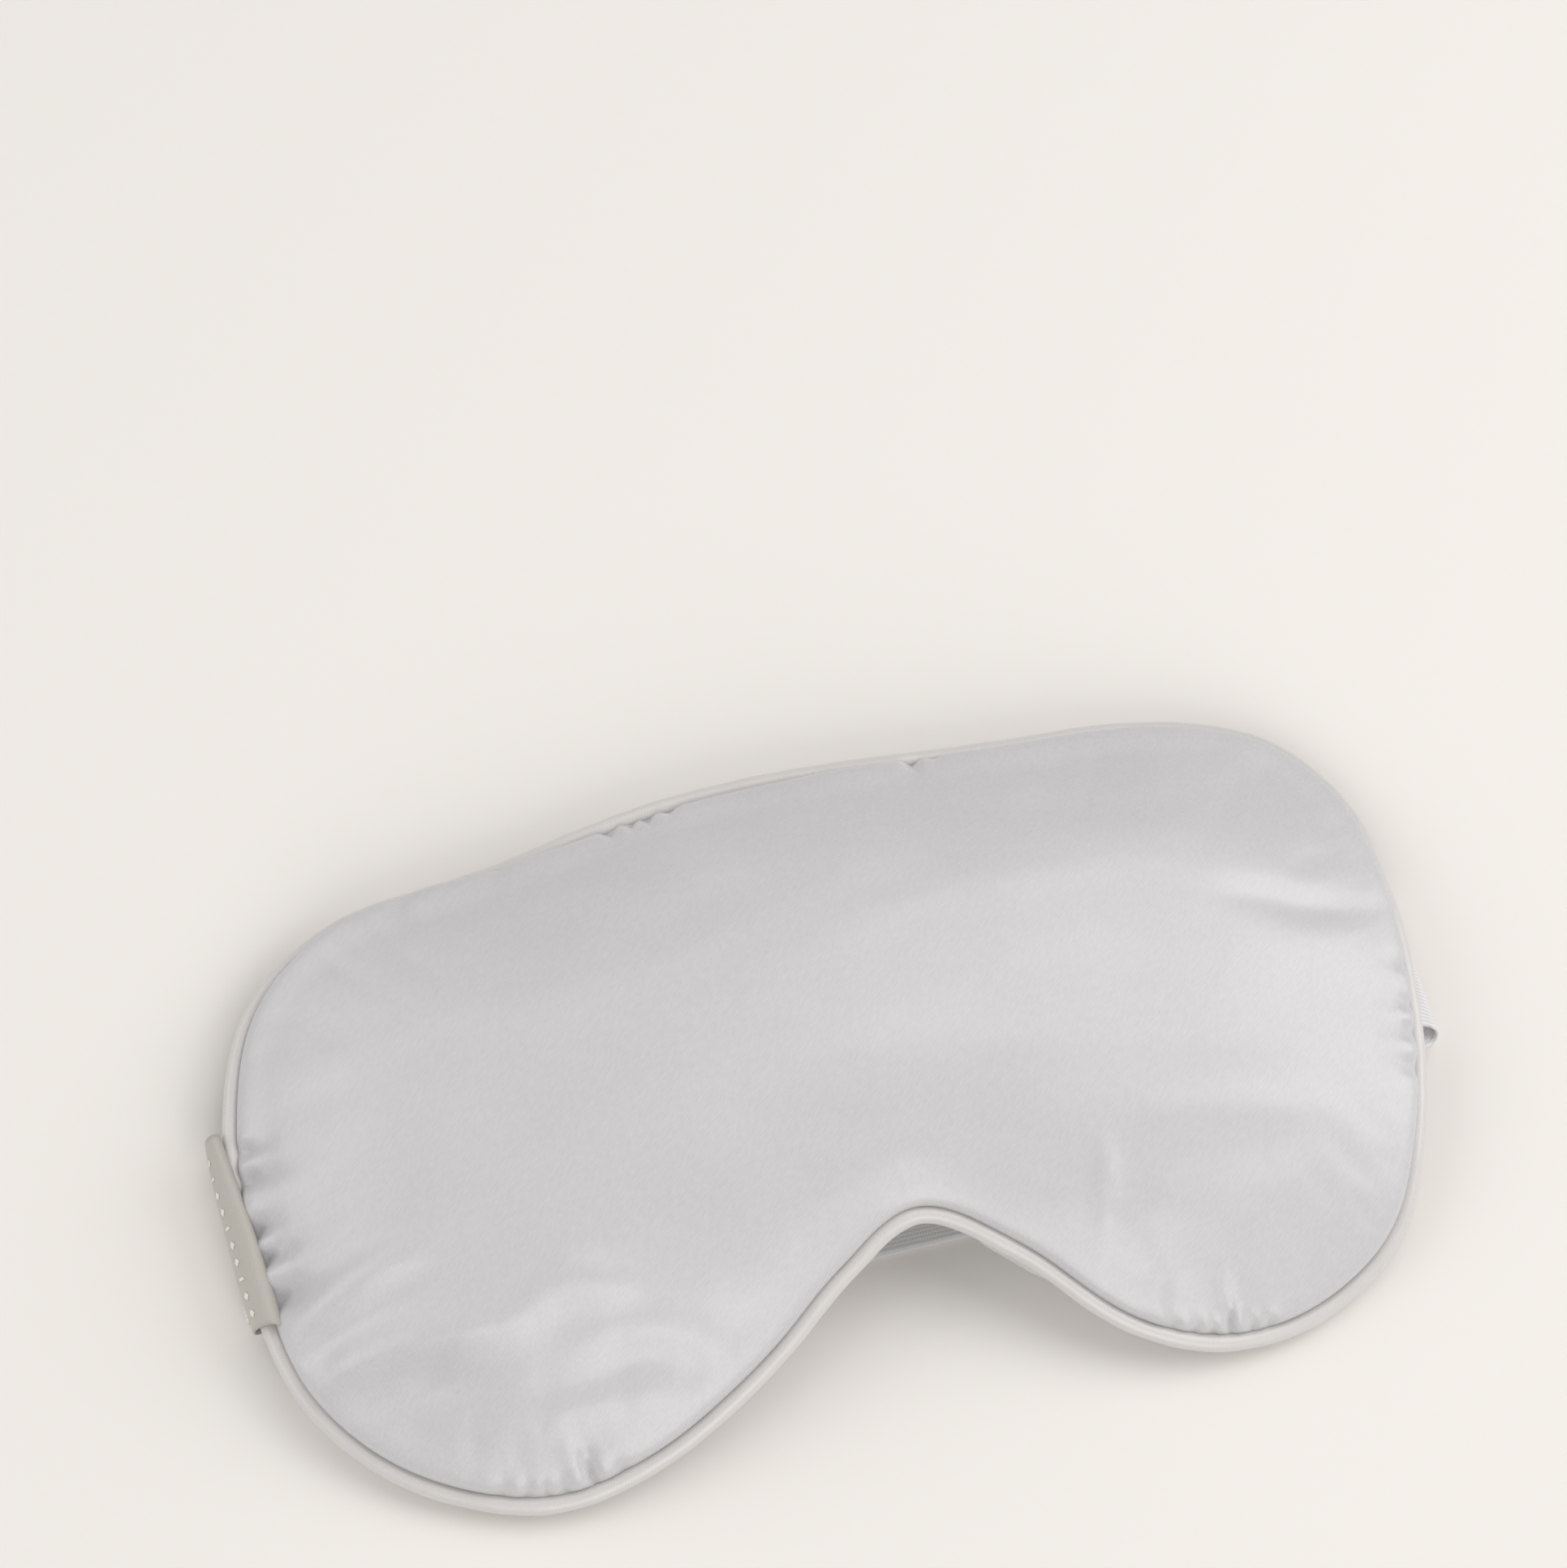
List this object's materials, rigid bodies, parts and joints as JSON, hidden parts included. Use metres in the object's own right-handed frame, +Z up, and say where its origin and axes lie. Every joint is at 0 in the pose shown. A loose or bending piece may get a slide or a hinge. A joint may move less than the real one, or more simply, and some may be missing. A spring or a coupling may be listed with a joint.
{
  "type": "sleep eye mask",
  "caption": "Padded satin sleep mask with a nose notch, a corded piped edge, a woven side label and a ribbed elastic strap folded beneath it that opens into a head loop.",
  "frame": {"origin": "on the table that the mask lies on, at the middle of its bounding box", "axes": "+X along the mask towards its right side as it lies face up with the nose notch nearest, +Y towards the forehead edge, +Z up out of the face; the label is at -X"},
  "size_m": [0.2136, 0.1187, 0.0285],
  "materials": {
    "satin": "pale silver grey satin with a soft sheen",
    "piping_satin": "the same satin cut on the bias over a cord",
    "wadding": "white polyester wadding",
    "blackout_cloth": "black light-blocking cloth",
    "foam": "cream foam sheet",
    "cotton_cord": "undyed cotton cord",
    "elastic_band": "light grey ribbed knitted elastic",
    "woven_label": "grey olive woven ribbon with plain white woven dashes"
  },
  "bodies": {
    "mask": {"front_panel": "satin", "front_wadding": "wadding", "blackout_liner": "blackout_cloth", "back_foam": "foam", "back_panel": "satin", "piping_cover": "piping_satin", "piping_cord": "cotton_cord", "side_label": "woven_label", "strap_turn_left": "elastic_band", "strap_turn_right": "elastic_band"},
    "upper_left": {"strap_upper_left": "elastic_band"},
    "middle_left": {"strap_middle_left": "elastic_band"},
    "bottom_left": {"strap_bottom_left": "elastic_band"},
    "upper_right": {"strap_upper_right": "elastic_band"},
    "middle_right": {"strap_middle_right": "elastic_band"},
    "bottom_right": {"strap_bottom_right": "elastic_band"}
  },
  "joints": [
    {"name": "strap_root_left", "type": "hinge", "parent": "mask", "child": "upper_left", "pos_m": [-0.102, 0, 0.0027], "axis": [0, 1, 0], "range_deg": [0, 62]},
    {"name": "inner_fold_left", "type": "hinge", "parent": "upper_left", "child": "middle_left", "pos_m": [-0.057, -0.006, 0.00213], "axis": [0, 1, 0], "range_deg": [-146.7, 0]},
    {"name": "outer_fold_left", "type": "hinge", "parent": "middle_left", "child": "bottom_left", "pos_m": [-0.082, -0.009, 0.00097], "axis": [0, 1, 0], "range_deg": [0, 84.7]},
    {"name": "strap_root_right", "type": "hinge", "parent": "mask", "child": "upper_right", "pos_m": [0.102, 0, 0.0027], "axis": [0, -1, 0], "range_deg": [0, 62]},
    {"name": "inner_fold_right", "type": "hinge", "parent": "upper_right", "child": "middle_right", "pos_m": [0.057, -0.006, 0.00213], "axis": [0, -1, 0], "range_deg": [-146.7, 0]},
    {"name": "outer_fold_right", "type": "hinge", "parent": "middle_right", "child": "bottom_right", "pos_m": [0.082, -0.009, 0.00097], "axis": [0, -1, 0], "range_deg": [0, 84.7]}
  ],
  "couplings": [
    {"joint": "inner_fold_left", "follows": "strap_root_left", "ratio": -2.365},
    {"joint": "outer_fold_left", "follows": "strap_root_left", "ratio": 1.365},
    {"joint": "strap_root_right", "follows": "strap_root_left", "ratio": 1},
    {"joint": "inner_fold_right", "follows": "strap_root_left", "ratio": -2.365},
    {"joint": "outer_fold_right", "follows": "strap_root_left", "ratio": 1.365}
  ]
}
